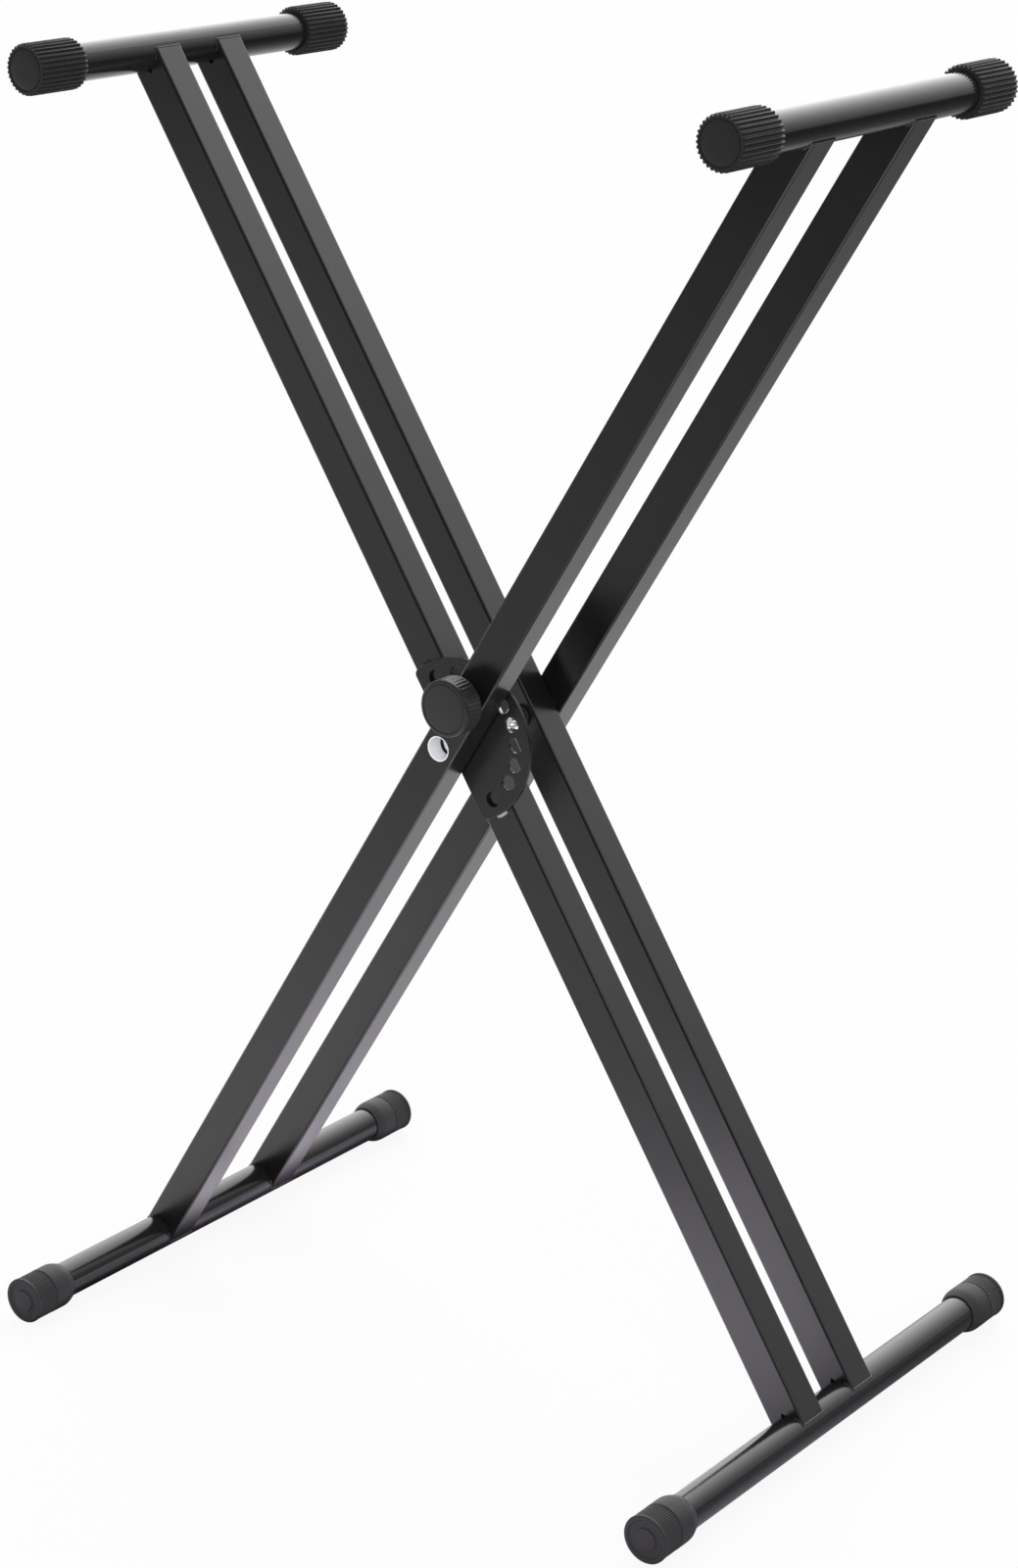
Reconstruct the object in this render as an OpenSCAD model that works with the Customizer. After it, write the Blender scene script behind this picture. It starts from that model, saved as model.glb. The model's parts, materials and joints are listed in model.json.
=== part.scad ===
// Folding double X stand for a keyboard. Two inner legs and two outer legs cross at one pivot
// line, a round tube joins each pair at its top and bottom, and a pull pin in a notched plate
// sets the height. X is left to right, Y is front to back, Z is up, in millimetres.
// The origin lies on the floor, straight under the pivot.

/* [Legs] */
// Distance from the pivot to the axis of each round tube
arm_length = 500; // [380:5:600]
// Leg width, seen from the front
leg_w = 26; // [22:0.5:30]
// Leg depth, front to back
leg_t = 24; // [20:0.5:30]
// Wall thickness of a leg
leg_wall = 1.5; // [1:0.1:2]
// Outside corner radius of a leg
leg_corner = 1.7; // [1:0.1:3.5]
// Clear space between the two inner legs
inner_gap = 36; // [30:0.5:60]
// How far a leg's cut end stops short of the middle of its round tube
end_lap = 3; // [2:0.5:5]
// Height of the small pointed notch at the middle of each saddle cut
saddle_notch_h = 2.5; // [1:0.5:4]
// Angle between the sides of that notch
saddle_notch_angle = 80; // [60:5:90]

/* [Round tubes] */
// Outside diameter of the round tubes
rod_d = 25; // [20:0.5:30]
// Wall thickness of the round tubes
rod_wall = 1.5; // [1:0.1:2.5]
// Width at the top, over both rubber caps
top_width = 302; // [260:1:400]
// Width at the floor, over both rubber feet
floor_width = 415; // [320:1:520]

/* [Top caps] */
// Thickness of a top cap's wall over its ribs
cap_wall = 4.2; // [3:0.1:8]
// Length of a top cap
cap_length = 41; // [25:1:60]
// Thickness of a top cap's closed end
cap_end = 3.5; // [2:0.5:6]
// Number of ribs round a top cap
cap_ribs = 32; // [20:1:44]
// Depth of the valleys between the ribs
rib_depth = 1.5; // [0.6:0.1:1.8]
// Bevel where the ribs run out at the closed end
cap_bevel = 0.7; // [0.6:0.1:2]
// Width of the rim round the disc on a cap's end face
cap_rim_w = 3.7; // [3:0.1:5]

/* [Feet] */
// Thickness of a foot's wall at its rim
foot_wall = 3.7; // [3:0.1:7]
// Length of a foot
foot_length = 38; // [28:0.5:60]
// Thickness of a foot's closed end
foot_end = 3.5; // [2.5:0.5:6]
// Length of a foot's grip band, behind its rim
grip_length = 16; // [8:0.5:18]
// How far the grip band is sunk below the rim
grip_sink = 0.3; // [0.2:0.1:1]
// Thickness of the rim at a foot's closed end
foot_rim = 2.6; // [2:0.2:4]
// Width of the flat rim on a foot's end
foot_rim_w = 3.2; // [2.5:0.1:5]
// Width of the dished ring inside that rim
foot_dish_w = 5.4; // [2:0.2:6]
// Depth of the dished ring
foot_dish_depth = 1.2; // [0.5:0.1:2]

/* [Lock plate] */
// Thickness of the notched plate
plate_t = 2.5; // [2:0.1:4]
// Radius of the circle that the notch holes lie on
notch_radius = 44; // [42:0.5:60]
// Steel left between a notch hole and the plate's round edge
plate_edge = 6; // [3:0.25:10]
// Diameter of a notch hole
notch_hole_d = 10.5; // [10:0.1:11]
// Angle from one notch hole to the next
notch_pitch = 18; // [17:0.5:19]
// Notch hole that the stand is set to, counted up from the plate's middle
set_notch = 2; // [1:1:4]
// Corner radius of the plate
plate_corner = 4; // [2:0.5:6]
// Space between the plate and the outer leg in front of it
plate_play = 1.3; // [0.3:0.1:2]

/* [Pivot] */
// Diameter of the two pivot bolts
bolt_d = 8; // [7:0.5:9]
// Width across the flats of the bolt heads and nuts
hex_af = 13; // [12:0.5:15]
// Height of a bolt head
head_h = 5.3; // [4:0.1:6.5]
// Wall thickness of the sleeve that a bolt head sits in
cup_wall = 0.8; // [0.5:0.1:1.5]
// Thickness of that sleeve's floor
cup_floor = 3.5; // [2:0.5:6]
// Outside diameter of the bushes that turn on the bolts
bush_d = 14; // [12:0.5:15]
// Radial clearance between a bolt and its bush
bush_clear = 0.05; // [0.02:0.01:0.1]
// Side clearance at each end of a bush
pivot_play = 0.15; // [0.1:0.05:0.5]
// Diameter of the washers under the nuts
washer_d = 16; // [15:0.5:18]
// Thickness of those washers
washer_t = 1.6; // [1:0.1:2]
// Height of a lock nut, with its collar
nut_h = 8; // [7:0.1:9]
// Height of the round collar on a lock nut
nut_collar = 1.9; // [1:0.1:2.5]
// How far a bolt's end stands out of its nut
bolt_proud = 2; // [1:0.5:3]
// Outside diameter of the spacer between the back legs
spacer_d = 24; // [20:1:30]
// Thickness of that spacer
spacer_t = 0.5; // [0.4:0.1:3]

/* [Pull knob] */
// Diameter of the pull knob
knob_d = 38; // [32:0.5:44]
// Depth of the pull knob, front to back
knob_depth = 15; // [13:0.5:22]
// Space between the knob and the leg behind it
knob_standoff = 8.5; // [8:0.5:14]
// Number of grip grooves round the knob
knob_grooves = 40; // [24:1:48]
// Radius of each grip groove
groove_r = 0.9; // [0.5:0.1:1]
// Diameter of the lock pin
pin_d = 8.5; // [7.5:0.1:9]
// Diameter of the stem that carries the knob
stem_d = 6; // [5:0.5:6.5]
// How far the knob pulls out
pull_travel = 8; // [5:0.5:9]
// Outside diameter of the housing that guides the pin
housing_d = 14; // [13:0.5:16]
// Wall thickness of the housing round its spring chamber
housing_wall = 1.25; // [0.8:0.05:1.5]
// Thickness of the collar that the spring pushes on
collar_t = 2; // [1.5:0.1:3]
// Width across the flats of the nut that holds the housing
housing_nut_af = 19; // [18:0.5:22]
// Thickness of that nut
housing_nut_t = 5; // [3:0.5:6]
// Thickness of the cap at the front end of the housing
housing_cap_t = 2; // [2:0.5:4]
// Wire diameter of the plunger's spring
wire_d = 1; // [0.8:0.1:1.2]
// Number of curls in the plunger's spring
spring_curls = 5; // [4:1:7]

/* [Hidden] */
$fn = 64;
steel_black = [0.07, 0.07, 0.075];
rubber_black = [0.09, 0.09, 0.09];
zinc = [0.8, 0.82, 0.84];

// Small clearances and features
fold_clear = 1.2;        // between the top caps when the stand is folded flat
head_clear = 0.3;        // between a bolt head's corners and its sleeve
pin_fit = 0.05;          // radial, round the pin and its stem
bolt_fit = 0.2;          // radial, where a bolt passes a wall that it doesn't turn in
pin_gap = 0.35;          // from the pin's nose to the plate
stop_gap = 0.1;          // from the pin's collar to its stop
collar_clear = 0.25;     // round the collar in its chamber
guide_hold = 1.5;        // length of the pin left in its guide when the knob is pulled
knob_gap = 0.5;          // from the knob to the housing behind it
stem_cover = 5;          // plastic in front of the stem, inside the knob
over = 1;                // how far a cut runs past the face that it opens
notch_pairs = 4;         // notch holes on each side of the plate's middle
rim_bevel = 0.6;         // small bevels on rims and ends
thread_bevel = 1;        // bevel on a bolt's end and on the pin's nose
collar_inset = 0.5;      // a lock nut's collar lies this far inside its flats
disc_groove = 0.8;       // width of the groove round a cap's disc
disc_groove_depth = 0.5;
sleeve_step = 0.2;       // how far a foot's sleeve lies below its rim
sleeve_taper = 6;        // length of the taper at a foot's open end
sleeve_taper_drop = 2.4; // how far that taper draws in
sleeve_bevel = 0.45;     // bevel at the front edge of a foot's sleeve
grip_groove = 0.5;       // width and depth of the line between grip band and sleeve
knob_round = 1.6;        // bevel round the knob's edges
knob_ring = 0.85;        // radius of the ring on the knob's face, as a share of the knob's
knob_ring_w = 0.7;
knob_ring_depth = 0.4;
spring_sides = 6;
rings_per_curl = 8;

// Sizes that follow what they fit
leg_inside_corner = leg_corner / 5;
cap_d = rod_d + 2 * cap_wall;
cap_disc_d = cap_d - 2 * cap_rim_w;
foot_d = rod_d + 2 * foot_wall;
foot_dish_d = foot_d - 2 * foot_rim_w;
foot_disc_d = foot_dish_d - 2 * foot_dish_w;
plate_radius = notch_radius + notch_hole_d / 2 + plate_edge;
cup_bore = hex_af / cos(30) + 2 * head_clear;
cup_d = cup_bore + 2 * cup_wall;
chamber_d = housing_d - 2 * housing_wall;
collar_d = chamber_d - 2 * collar_clear;
spring_r = (stem_d + chamber_d) / 4;

// Angles. The pin bears on the lower side of its hole, so the play opens the legs a little.
play_angle = asin((notch_hole_d - pin_d) / 2 / notch_radius);
set_angle = (set_notch - 0.5) * notch_pitch;
half_angle = (90 - set_angle + play_angle) / 2;
closed_half_angle = asin((max(cap_d, foot_d) + fold_clear) / (2 * arm_length));
fold_hole_angle = 90 - 2 * closed_half_angle + play_angle;
pivot_z = arm_length * cos(half_angle) + foot_d / 2;

// Places along Y, for the front half. The back half mirrors them, with its own gap between
// the inner and the outer leg.
front_gap = plate_t + plate_play;
back_gap = spacer_t + 2 * pivot_play;
inner_back = -inner_gap / 2;
inner_front = inner_back - leg_t;
plate_front = inner_front - plate_t;
outer_back = inner_front - front_gap;
outer_front = outer_back - leg_t;
inner_mid = (inner_front + inner_back) / 2;
wall_inside = outer_back - leg_wall;
bush_back = inner_back + pivot_play;
washer_front = bush_back + pivot_play;
nut_front = washer_front + washer_t;
nut_back = nut_front + nut_h;
bolt_end = nut_back + bolt_proud;

// The plunger, along Y
knob_back = outer_front - knob_standoff;
knob_front = knob_back - knob_depth;
housing_front = knob_back + knob_gap;
chamber_front = housing_front + housing_cap_t;
chamber_back = outer_back - pull_travel - guide_hold;
pin_nose = plate_front - pin_gap;
collar_back = chamber_back - stop_gap;
collar_front = collar_back - collar_t;
stem_front = knob_front + stem_cover;

// Places that depend on the gap, for the front or the back half
function leg_back(gap) = inner_front - gap;
function leg_front(gap) = leg_back(gap) - leg_t;
function cup_end(gap) = leg_back(gap) - leg_wall;
function cup_seat(gap) = cup_end(gap) - cup_floor;

module inner_pose() {
    translate([0, 0, pivot_z]) rotate([0, -half_angle, 0]) children();
}

module outer_pose() {
    translate([0, 0, pivot_z]) rotate([0, half_angle, 0]) children();
}

// A round bar along Y between two places
module y_bar(d, from, to) {
    translate([0, from, 0]) rotate([-90, 0, 0]) cylinder(d = d, h = to - from);
}

// A hexagonal bar along Y between two places
module y_hex(af, from, to) {
    translate([0, from, 0]) rotate([-90, 0, 0])
        cylinder(d = af / cos(30), h = to - from, $fn = 6);
}

// A turned shape about Y. Its outline gives [radius, distance inward from the front place].
module y_turned(outline, from) {
    translate([0, from, 0]) rotate([-90, 0, 0]) rotate_extrude() polygon(outline);
}

module rounded_rect(w, t, r) {
    square([w - 2 * r, t], center = true);
    square([w, t - 2 * r], center = true);
    for (x = [-1, 1], y = [-1, 1])
        translate([x * (w / 2 - r), y * (t / 2 - r)]) circle(r = r);
}

// The small notch that points away from the tube's underside, as a wedge along Y
module saddle_notch(from, to) {
    reach = 2 * saddle_notch_h;
    side = reach * tan(saddle_notch_angle / 2);
    translate([0, to, -rod_d / 2 - saddle_notch_h]) rotate([90, 0, 0])
        linear_extrude(height = to - from) polygon([[0, 0], [side, reach], [-side, reach]]);
}

// A leg stands upright through the pivot, with both ends saddle cut to the round tubes.
module leg(mid) {
    half = arm_length - end_lap;
    difference() {
        translate([0, mid, -half]) linear_extrude(height = 2 * half) difference() {
            rounded_rect(leg_w, leg_t, leg_corner);
            rounded_rect(leg_w - 2 * leg_wall, leg_t - 2 * leg_wall, leg_inside_corner);
        }
        for (end = [0, 1]) mirror([0, 0, end]) translate([0, 0, arm_length]) {
            y_bar(rod_d, mid - leg_t, mid + leg_t);
            saddle_notch(mid - leg_t, mid + leg_t);
        }
    }
}

module inner_leg() {
    color(steel_black) inner_pose() difference() {
        leg(inner_mid);
        y_bar(bush_d, inner_front - over, inner_back + over);
    }
}

module outer_leg(gap, has_plunger) {
    front = leg_front(gap);
    back = leg_back(gap);
    mid = (front + back) / 2;
    color(steel_black) outer_pose() difference() {
        leg(mid);
        y_bar(cup_d, front - over, mid);
        y_bar(bolt_d + 2 * bolt_fit, mid, back + over);
        if (has_plunger) translate([0, 0, notch_radius]) {
            y_bar(housing_d, front - over, mid);
            y_bar(pin_d + 2 * pin_fit, mid, back + over);
        }
    }
}

module rod(width, end_wall, z) {
    reach = width / 2 - end_wall;
    color(steel_black) translate([0, 0, z]) difference() {
        y_bar(rod_d, -reach, reach);
        y_bar(rod_d - 2 * rod_wall, -reach - over, reach + over);
    }
}

// A ribbed cap on the top tube's front end
module top_cap() {
    rib_r = cap_d / 2;
    front = -top_width / 2;
    ribs = [for (i = [0:2 * cap_ribs - 1])
        let (r = i % 2 == 0 ? rib_r : rib_r - rib_depth, a = 180 * i / cap_ribs)
        [r * cos(a), r * sin(a)]];
    color(rubber_black) translate([0, 0, arm_length]) difference() {
        intersection() {
            translate([0, front, 0]) rotate([-90, 0, 0])
                linear_extrude(height = cap_length) polygon(ribs);
            y_turned([[0, 0], [rib_r - cap_bevel, 0], [rib_r + over, cap_bevel + over],
                [rib_r + over, cap_length], [0, cap_length]], front);
        }
        y_bar(rod_d, front + cap_end, front + cap_length + over);
        difference() {
            y_bar(cap_disc_d + 2 * disc_groove, front - over, front + disc_groove_depth);
            y_bar(cap_disc_d, front - 2 * over, front + cap_end);
        }
    }
}

// A foot on the bottom tube's front end: rim, grip band and smooth sleeve
module foot() {
    r = foot_d / 2;
    grip_r = r - grip_sink;
    sleeve_r = r - sleeve_step;
    grip_end = foot_rim + grip_length;
    front = -floor_width / 2;
    color(rubber_black) translate([0, 0, -arm_length]) difference() {
        y_turned([[0, 0], [r - rim_bevel, 0], [r, rim_bevel], [r, foot_rim - rim_bevel],
            [grip_r, foot_rim], [grip_r, grip_end - grip_groove],
            [grip_r - grip_groove, grip_end - grip_groove], [grip_r - grip_groove, grip_end],
            [sleeve_r - sleeve_bevel, grip_end], [sleeve_r, grip_end + sleeve_bevel],
            [sleeve_r, foot_length - sleeve_taper], [sleeve_r - sleeve_taper_drop, foot_length],
            [0, foot_length]], front);
        y_bar(rod_d, front + foot_end, front + foot_length + over);
        y_turned([[foot_disc_d / 2, -over], [foot_dish_d / 2 + foot_dish_depth, -over],
            [foot_dish_d / 2 + foot_dish_depth / 2, 0],
            [foot_dish_d / 2 - foot_dish_depth / 2, foot_dish_depth],
            [foot_disc_d / 2, foot_dish_depth]], front);
    }
}

// The sleeve in an outer leg that holds a bolt's head, flush with the leg's face
module bolt_cup(gap) {
    seat = cup_seat(gap);
    color(zinc) outer_pose() difference() {
        y_bar(cup_d, leg_front(gap), cup_end(gap));
        y_bar(cup_bore, leg_front(gap) - over, seat);
        y_bar(bolt_d + 2 * bolt_fit, seat - over, cup_end(gap) + over);
    }
}

module pivot_bolt(gap) {
    seat = cup_seat(gap);
    length = bolt_end - seat;
    tip = thread_bevel;
    color(zinc) outer_pose() {
        y_hex(hex_af, seat - head_h, seat);
        y_turned([[0, 0], [bolt_d / 2, 0], [bolt_d / 2, length - tip],
            [bolt_d / 2 - tip, length], [0, length]], seat);
    }
}

module pivot_nut() {
    collar_r = hex_af / 2 - collar_inset;
    color(zinc) outer_pose() difference() {
        union() {
            y_hex(hex_af, nut_front, nut_back - nut_collar);
            y_turned([[0, 0], [collar_r, 0], [collar_r, nut_h - rim_bevel],
                [collar_r - rim_bevel, nut_h], [0, nut_h]], nut_front);
        }
        y_bar(bolt_d, nut_front - over, nut_back + over);
    }
}

module washer() {
    color(zinc) outer_pose() difference() {
        y_bar(washer_d, washer_front, nut_front);
        y_bar(bolt_d + 2 * bolt_fit, washer_front - over, nut_front + over);
    }
}

module pivot_bush(gap) {
    front = leg_back(gap) + pivot_play;
    color(zinc) inner_pose() difference() {
        y_bar(bush_d, front, bush_back);
        y_bar(bolt_d + 2 * bush_clear, front - over, bush_back + over);
    }
}

module back_spacer() {
    color(zinc) inner_pose() mirror([0, 1, 0]) difference() {
        y_bar(spacer_d, inner_front - spacer_t, inner_front);
        y_bar(bush_d, inner_front - spacer_t - over, inner_front + over);
    }
}

// Outline of the notched plate, upright like the inner leg: a disc cut straight along the
// leg's far edge, with the two corners rounded
module plate_outline() {
    edge = leg_w / 2;
    corner_x = plate_corner - edge;
    corner_z = sqrt(pow(plate_radius - plate_corner, 2) - corner_x * corner_x);
    corner_a = atan2(corner_z, corner_x);
    reach = 2 * plate_radius;
    intersection() {
        circle(r = plate_radius);
        polygon([[-edge, -corner_z], [-edge, corner_z], [corner_x, corner_z],
            [reach * cos(corner_a), reach * sin(corner_a)], [reach, reach], [reach, -reach],
            [reach * cos(corner_a), -reach * sin(corner_a)], [corner_x, -corner_z]]);
    }
    for (z = [-corner_z, corner_z]) translate([corner_x, z]) circle(r = plate_corner);
}

module lock_plate() {
    notches = [for (k = [0.5:1:notch_pairs - 0.5]) k * notch_pitch];
    angles = concat(notches, -notches, [fold_hole_angle, -fold_hole_angle]);
    color(steel_black) inner_pose() difference() {
        translate([0, inner_front, 0]) rotate([90, 0, 0])
            linear_extrude(height = plate_t) plate_outline();
        y_bar(bush_d, plate_front - over, inner_front + over);
        for (a = angles)
            translate([notch_radius * cos(a), 0, notch_radius * sin(a)])
                y_bar(notch_hole_d, plate_front - over, inner_front + over);
    }
}

module plunger_pose() {
    outer_pose() translate([0, 0, notch_radius]) children();
}

module plunger_housing() {
    color(steel_black) plunger_pose() difference() {
        y_bar(housing_d, housing_front, wall_inside);
        y_bar(chamber_d, housing_front - over, chamber_back);
        y_bar(pin_d + 2 * pin_fit, chamber_back - over, wall_inside + over);
    }
}

module housing_cap() {
    color(steel_black) plunger_pose() difference() {
        y_bar(chamber_d, housing_front, chamber_front);
        y_bar(stem_d + 2 * pin_fit, housing_front - over, chamber_front + over);
    }
}

module plunger_nut() {
    color(steel_black) plunger_pose() difference() {
        y_hex(housing_nut_af, outer_front - housing_nut_t, outer_front);
        y_bar(housing_d, outer_front - housing_nut_t - over, outer_front + over);
    }
}

// One tube wound along Y, ring by ring, from the housing's cap to the pin's collar
module plunger_spring() {
    steps = spring_curls * rings_per_curl;
    start = chamber_front + wire_d / 2;
    rise = collar_front - chamber_front - wire_d;
    points = [for (i = [0:steps], j = [0:spring_sides - 1])
        let (turn = 360 * i / rings_per_curl, side = 360 * j / spring_sides,
            r = spring_r + wire_d / 2 * cos(side))
        [r * cos(turn), start + rise * i / steps + wire_d / 2 * sin(side), r * sin(turn)]];
    sides = [for (i = [0:steps - 1], j = [0:spring_sides - 1])
        let (a = i * spring_sides, b = a + spring_sides, k = (j + 1) % spring_sides)
        each [[a + j, b + j, b + k], [a + j, b + k, a + k]]];
    first = [for (j = [0:spring_sides - 1]) j];
    last = [for (j = [spring_sides - 1:-1:0]) steps * spring_sides + j];
    echo("least gap between curls", rise / spring_curls - wire_d);
    color(zinc) plunger_pose() polyhedron(points, concat(sides, [first, last]), convexity = 10);
}

module lock_pin() {
    length = pin_nose - collar_back;
    tip = thread_bevel;
    color(zinc) plunger_pose() {
        y_bar(stem_d, stem_front, collar_back);
        y_turned([[0, 0], [pin_d / 2, 0], [pin_d / 2, length - tip], [pin_d / 2 - tip, length],
            [0, length]], collar_back);
    }
}

module pin_collar() {
    color(zinc) plunger_pose() difference() {
        y_bar(collar_d, collar_front, collar_back);
        y_bar(stem_d, collar_front - over, collar_back + over);
    }
}

module pull_knob() {
    r = knob_d / 2;
    ring_r = r * knob_ring;
    color(rubber_black) plunger_pose() difference() {
        y_turned([[0, 0], [r - knob_round, 0], [r, knob_round], [r, knob_depth - knob_round],
            [r - knob_round, knob_depth], [0, knob_depth]], knob_front);
        for (i = [0:knob_grooves - 1]) rotate([0, 360 * i / knob_grooves, 0])
            translate([r + groove_r / 2, 0, 0])
                y_bar(2 * groove_r, knob_front - over, knob_back + over);
        difference() {
            y_bar(2 * ring_r + knob_ring_w, knob_front - over, knob_front + knob_ring_depth);
            y_bar(2 * ring_r - knob_ring_w, knob_front - 2 * over, knob_front + over);
        }
        y_bar(stem_d, stem_front, knob_back + over);
    }
}

outer_leg(front_gap, true);  // outer_leg_front
mirror([0, 1, 0]) outer_leg(back_gap, false);  // outer_leg_back
outer_pose() rod(top_width, cap_end, arm_length);  // outer_top_rod
outer_pose() rod(floor_width, foot_end, -arm_length);  // outer_bottom_rod
outer_pose() top_cap();  // outer_top_cap_front
mirror([0, 1, 0]) outer_pose() top_cap();  // outer_top_cap_back
outer_pose() foot();  // outer_foot_front
mirror([0, 1, 0]) outer_pose() foot();  // outer_foot_back
inner_leg();  // inner_leg_front
mirror([0, 1, 0]) inner_leg();  // inner_leg_back
inner_pose() rod(top_width, cap_end, arm_length);  // inner_top_rod
inner_pose() rod(floor_width, foot_end, -arm_length);  // inner_bottom_rod
inner_pose() top_cap();  // inner_top_cap_front
mirror([0, 1, 0]) inner_pose() top_cap();  // inner_top_cap_back
inner_pose() foot();  // inner_foot_front
mirror([0, 1, 0]) inner_pose() foot();  // inner_foot_back
bolt_cup(front_gap);  // front_bolt_cup
mirror([0, 1, 0]) bolt_cup(back_gap);  // back_bolt_cup
pivot_bolt(front_gap);  // front_pivot_bolt
mirror([0, 1, 0]) pivot_bolt(back_gap);  // back_pivot_bolt
pivot_nut();  // front_pivot_nut
mirror([0, 1, 0]) pivot_nut();  // back_pivot_nut
for (y = [0, 1]) mirror([0, y, 0]) washer();  // nut_washers
pivot_bush(front_gap);  // front_pivot_bush
mirror([0, 1, 0]) pivot_bush(back_gap);  // back_pivot_bush
back_spacer();
lock_plate();
plunger_housing();
housing_cap();
plunger_nut();
plunger_spring();
lock_pin();
pin_collar();
pull_knob();
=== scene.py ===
import json
import math
import random
import bmesh
import bpy
from mathutils import Matrix, Vector


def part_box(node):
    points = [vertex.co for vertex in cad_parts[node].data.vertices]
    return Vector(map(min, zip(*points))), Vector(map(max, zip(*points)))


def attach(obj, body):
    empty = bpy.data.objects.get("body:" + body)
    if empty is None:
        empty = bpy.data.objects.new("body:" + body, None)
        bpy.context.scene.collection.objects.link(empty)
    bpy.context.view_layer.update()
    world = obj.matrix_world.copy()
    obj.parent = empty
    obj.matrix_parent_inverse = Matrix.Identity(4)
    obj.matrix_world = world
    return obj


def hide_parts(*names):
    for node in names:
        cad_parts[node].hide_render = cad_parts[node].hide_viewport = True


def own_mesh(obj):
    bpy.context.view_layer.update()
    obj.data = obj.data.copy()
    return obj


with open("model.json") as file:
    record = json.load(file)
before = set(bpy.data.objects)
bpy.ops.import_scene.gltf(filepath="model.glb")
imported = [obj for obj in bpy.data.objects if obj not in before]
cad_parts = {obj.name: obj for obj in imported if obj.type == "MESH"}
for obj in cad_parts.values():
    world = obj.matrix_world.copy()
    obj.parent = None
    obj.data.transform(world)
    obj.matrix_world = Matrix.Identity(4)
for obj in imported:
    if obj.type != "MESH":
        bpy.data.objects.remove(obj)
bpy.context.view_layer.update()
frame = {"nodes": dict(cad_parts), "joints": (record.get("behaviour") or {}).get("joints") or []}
cadNodes = frame["nodes"]
mm = 0.001
turn = 2 * math.pi
print("frame loaded,", len(cadNodes), "nodes")


def jointOf(name):
    return next(joint for joint in frame["joints"] if joint["name"] == name)


# Where the two frames lean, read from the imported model
pivot = Vector(jointOf("fold")["pos_m"])


def middleOf(node):
    low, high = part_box(node)
    return (low + high) / 2


def leanOf(node):
    away = middleOf(node) - pivot
    return math.atan2(away.x, away.z)


legs = [(side, end) for side in ("outer", "inner") for end in ("front", "back")]
leans = {"outer": leanOf("outer_top_rod"), "inner": leanOf("inner_top_rod")}
armLength = (middleOf("outer_top_rod") - pivot).length
mirrorBack = Matrix.Scale(-1, 4, (0, 1, 0))


def placeOn(side, along, back=False):
    # along is the way up the leg from the pivot, in metres
    lean = Matrix.Translation(pivot) @ Matrix.Rotation(leans[side], 4, "Y")
    spot = lean @ Matrix.Translation((0, 0, along))
    return mirrorBack @ spot if back else spot


def leaningBox(node, side, along=0):
    # a node's lowest and highest corner in its leg's own upright frame, in mm
    back = placeOn(side, along).inverted()
    spots = [back @ vertex.co / mm for vertex in cadNodes[node].data.vertices]
    return [Vector([pick(spot[i] for spot in spots) for i in range(3)]) for pick in (min, max)]


# Studio: a white floor, light from all round, a wide soft lamp from behind on the left and a
# weaker one from the front right. Gloss sees two sides of the studio bright and the rest dark.
studio = {
    "floorSize": 60,               # metres, as every size in this dictionary
    "floorColour": (0.565, 0.557, 0.571),
    "floorShade": 0.09,            # share of real shade that the camera sees on the floor
    "glossShade": 0.95,            # and that gloss sees
    "glowFall": 5,                 # how sharply a patch of light ends
    # painted light: patches of floor that gloss alone sees lit, and by the bottom tubes two strips of
    # painted shade that it sees dark
    "floorGlows": [
        {"middle": (-0.9, 0.45), "reach": (1.18, 1.18), "level": 0.93},
        {"middle": (0.08, -0.13), "reach": (0.2, 0.22), "level": 1.55, "tint": (1.06, 0.98, 1.12)},
        {"middle": (-0.2, 0.1), "reach": (0.07, 0.14), "level": 0.15, "tint": (1.3, 0.9, 1.7)},
        {"middle": (-0.234, 0.03), "reach": (0.014, 0.08), "level": 1.2, "tint": (1.06, 0.98, 1.12)},
        {"middle": (-5.1, 0.35), "reach": (3.5, 3.5), "level": 1.85},
        {"middle": (1.1, -1.0), "reach": (0.8, 0.8), "level": 1.5},
        {"middle": (0.34, 0), "reach": (0.09, 0.4), "level": -0.6},
        {"middle": (-0.256, 0), "reach": (0.013, 0.4), "level": -1.2},
    ],
    "skyLevel": 0.9,               # light from all round on matt surfaces
    "skyGlows": [                  # bright sides of the studio that gloss sees
        {"side": (-0.35, 0.7, 0.62), "level": 3.45, "fall": 2.56},
        {"side": (0.86, 0.05, 0.5), "level": 1.6, "fall": 30},
    ],
    "darkLevel": 0.11,             # the rest of the studio, in gloss
    "lamps": {                     # spread is the lamp's width in degrees
        "wideLamp": {"from": (-0.35, 0.7, 0.62), "level": 3.0, "spread": 60},
        "fillLamp": {"from": (0.62, -0.66, 0.42), "level": 1.3, "spread": 40},
    },
}


def linkNodes(tree, *pairs):
    for start, end in pairs:
        tree.links.new(start, end)


def mathNode(tree, kind, first, second):
    step = tree.nodes.new("ShaderNodeMath")
    step.operation = kind
    for socket, value in zip(step.inputs, (first, second)):
        if hasattr(value, "is_linked"):
            tree.links.new(value, socket)
        else:
            socket.default_value = value
    return step.outputs[0]


def vectorNode(tree, kind, first, second):
    step = tree.nodes.new("ShaderNodeVectorMath")
    step.operation = kind
    places = (step.inputs[0], step.inputs["Scale"] if kind == "SCALE" else step.inputs[1])
    for socket, value in zip(places, (first, second)):
        if hasattr(value, "is_linked"):
            tree.links.new(value, socket)
        elif value is not None:
            socket.default_value = value
    return step.outputs["Value" if kind in ("DOT_PRODUCT", "LENGTH") else "Vector"]


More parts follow.
